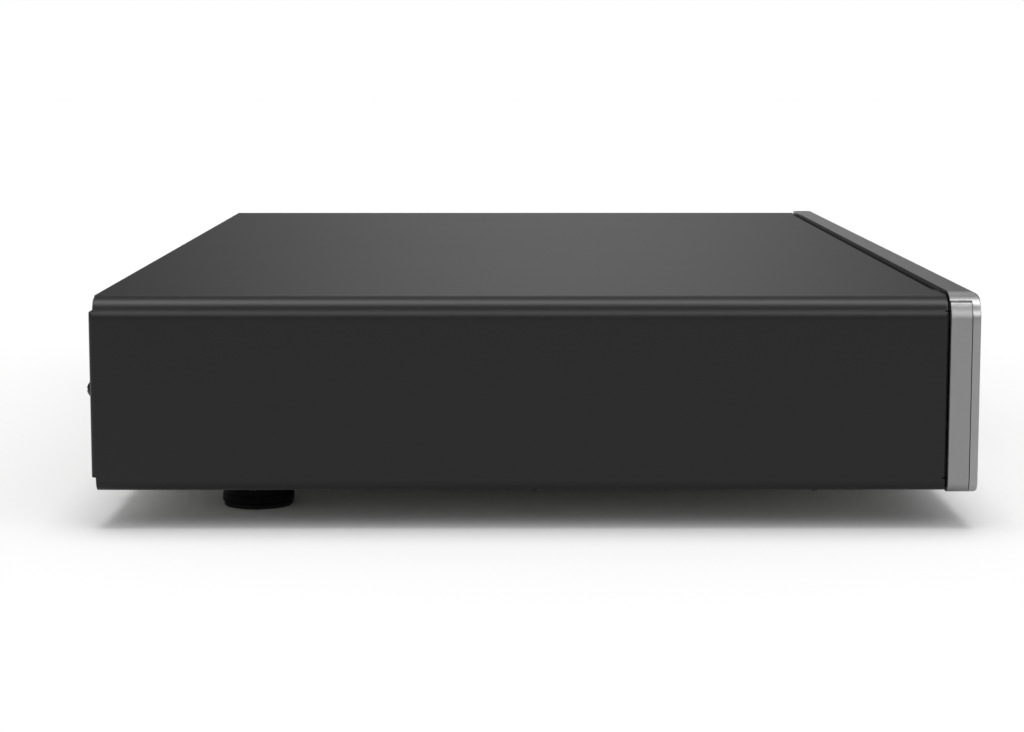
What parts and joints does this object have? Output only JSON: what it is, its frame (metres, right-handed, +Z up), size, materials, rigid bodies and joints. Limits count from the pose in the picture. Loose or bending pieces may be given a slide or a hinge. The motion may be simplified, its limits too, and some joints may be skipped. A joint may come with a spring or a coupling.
{
  "type": "network music streamer",
  "caption": "Flat full-width network music streamer with a folded steel cover, aluminium front panel, display, sprung buttons, turn-and-push knob and rear sockets.",
  "frame": {"origin": "centre of the footprint on the floor, under the feet", "axes": "+Z up, the front panel faces -Y, +X to the right seen from the front"},
  "size_m": [0.43, 0.305, 0.0755],
  "materials": {
    "cover_paint": "satin dark grey powder coat",
    "fascia_aluminium": "fine brushed, silver-grey anodised",
    "rim_plastic": "silver-grey satin paint",
    "black_steel": "black paint",
    "rear_paint": "satin black powder coat",
    "zinc_steel": "zinc plated sheet",
    "foot_plastic": "black moulded plastic",
    "pad_rubber": "black rubber",
    "screw_black": "black oxide steel",
    "screw_zinc": "zinc plated steel",
    "window_acrylic": "smoked clear acrylic",
    "display_glass": "dark display panel",
    "board_green": "glass-epoxy board with solder mask",
    "board_blue": "glass-epoxy board with solder mask",
    "button_metal": "satin anodised",
    "light_lens": "clear light pipe",
    "switch_plastic": "black moulded plastic",
    "knob_aluminium": "turned and anodised",
    "shaft_steel": "machined steel",
    "encoder_metal": "plated steel",
    "socket_tin": "tinned steel",
    "socket_black": "black moulded plastic",
    "insulator_white": "white moulded plastic",
    "insulator_red": "red moulded plastic",
    "insulator_black": "black moulded plastic",
    "contact_gold": "gold flashed brass",
    "pin_nickel": "nickel plated brass",
    "ferrite_core": "ferrite core with taped winding",
    "capacitor_sleeve": "printed-free plastic sleeve",
    "heatsink_metal": "black anodised",
    "spacer_brass": "turned brass",
    "ribbon_plastic": "white flat flexible cable",
    "lead_sleeve": "insulated wire"
  },
  "bodies": {
    "case": {"top_cover": "cover_paint", "base_plate": "zinc_steel", "rear_panel": "rear_paint", "front_fascia": "fascia_aluminium", "fascia_frame": "rim_plastic", "front_carrier": "black_steel", "foot_front_left": "foot_plastic", "foot_front_right": "foot_plastic", "foot_rear_left": "foot_plastic", "foot_rear_right": "foot_plastic", "foot_pads": "pad_rubber", "foot_screws": "screw_zinc", "cover_rear_screws": "screw_black", "cover_base_screws": "screw_black", "rear_panel_screws": "screw_black", "carrier_screws": "screw_zinc", "fascia_screws": "screw_zinc", "display_window": "window_acrylic", "display_module": "display_glass", "front_board": "board_green", "status_light": "light_lens", "tact_switches": "switch_plastic", "encoder_body": "encoder_metal", "encoder_nut": "encoder_metal", "usb_sockets": "socket_tin", "usb_tongues": "insulator_black", "mains_inlet": "socket_black", "inlet_pins": "pin_nickel", "power_switch": "socket_black", "phono_blocks": "socket_black", "phono_barrels": "contact_gold", "phono_insert_white": "insulator_white", "phono_insert_red": "insulator_red", "phono_insert_black": "insulator_black", "optical_socket": "socket_black", "network_socket": "socket_tin", "aerial_sockets": "contact_gold", "main_board": "board_green", "stream_module": "board_blue", "module_shield": "socket_tin", "power_board": "board_green", "transformer": "ferrite_core", "capacitors": "capacitor_sleeve", "heatsink": "heatsink_metal", "standoffs": "spacer_brass", "board_screws": "screw_zinc", "ribbon_cable": "ribbon_plastic", "internal_leads": "lead_sleeve"},
    "standby_key": {"standby_button": "button_metal"},
    "key_left_top": {"button_left_top": "button_metal"},
    "key_left_mid": {"button_left_mid": "button_metal"},
    "key_left_low": {"button_left_low": "button_metal"},
    "key_right_top": {"button_right_top": "button_metal"},
    "key_right_mid": {"button_right_mid": "button_metal"},
    "key_right_low": {"button_right_low": "button_metal"},
    "selector_push": {"encoder_plunger": "switch_plastic"},
    "selector": {"selector_knob": "knob_aluminium", "encoder_shaft": "shaft_steel"},
    "rocker": {"power_rocker": "socket_black"},
    "shutter": {"optical_shutter": "switch_plastic"}
  },
  "joints": [
    {"name": "standby_key_press", "type": "slide", "parent": "case", "child": "standby_key", "axis": [0, 1, 0], "range_m": [0, 0.0006], "stiffness_N_per_m": 2000},
    {"name": "key_left_top_press", "type": "slide", "parent": "case", "child": "key_left_top", "axis": [0, 1, 0], "range_m": [0, 0.0006], "stiffness_N_per_m": 2000},
    {"name": "key_left_mid_press", "type": "slide", "parent": "case", "child": "key_left_mid", "axis": [0, 1, 0], "range_m": [0, 0.0006], "stiffness_N_per_m": 2000},
    {"name": "key_left_low_press", "type": "slide", "parent": "case", "child": "key_left_low", "axis": [0, 1, 0], "range_m": [0, 0.0006], "stiffness_N_per_m": 2000},
    {"name": "key_right_top_press", "type": "slide", "parent": "case", "child": "key_right_top", "axis": [0, 1, 0], "range_m": [0, 0.0006], "stiffness_N_per_m": 2000},
    {"name": "key_right_mid_press", "type": "slide", "parent": "case", "child": "key_right_mid", "axis": [0, 1, 0], "range_m": [0, 0.0006], "stiffness_N_per_m": 2000},
    {"name": "key_right_low_press", "type": "slide", "parent": "case", "child": "key_right_low", "axis": [0, 1, 0], "range_m": [0, 0.0006], "stiffness_N_per_m": 2000},
    {"name": "selector_press", "type": "slide", "parent": "case", "child": "selector_push", "axis": [0, 1, 0], "range_m": [0, 0.0005], "stiffness_N_per_m": 6000},
    {"name": "selector_turn", "type": "hinge", "parent": "selector_push", "child": "selector", "pos_m": [0.153, -0.1375, 0.0435], "axis": [0, 1, 0], "continuous": true},
    {"name": "rocker_tilt", "type": "hinge", "parent": "case", "child": "rocker", "pos_m": [0.1285, 0.1395, 0.0435], "axis": [-1, 0, 0], "range_deg": [0, 18]},
    {"name": "shutter_swing", "type": "hinge", "parent": "case", "child": "shutter", "pos_m": [-0.0078, 0.145, 0.0319], "axis": [-1, 0, 0], "range_deg": [0, 75], "stiffness_Nm_per_rad": 0.0004}
  ]
}
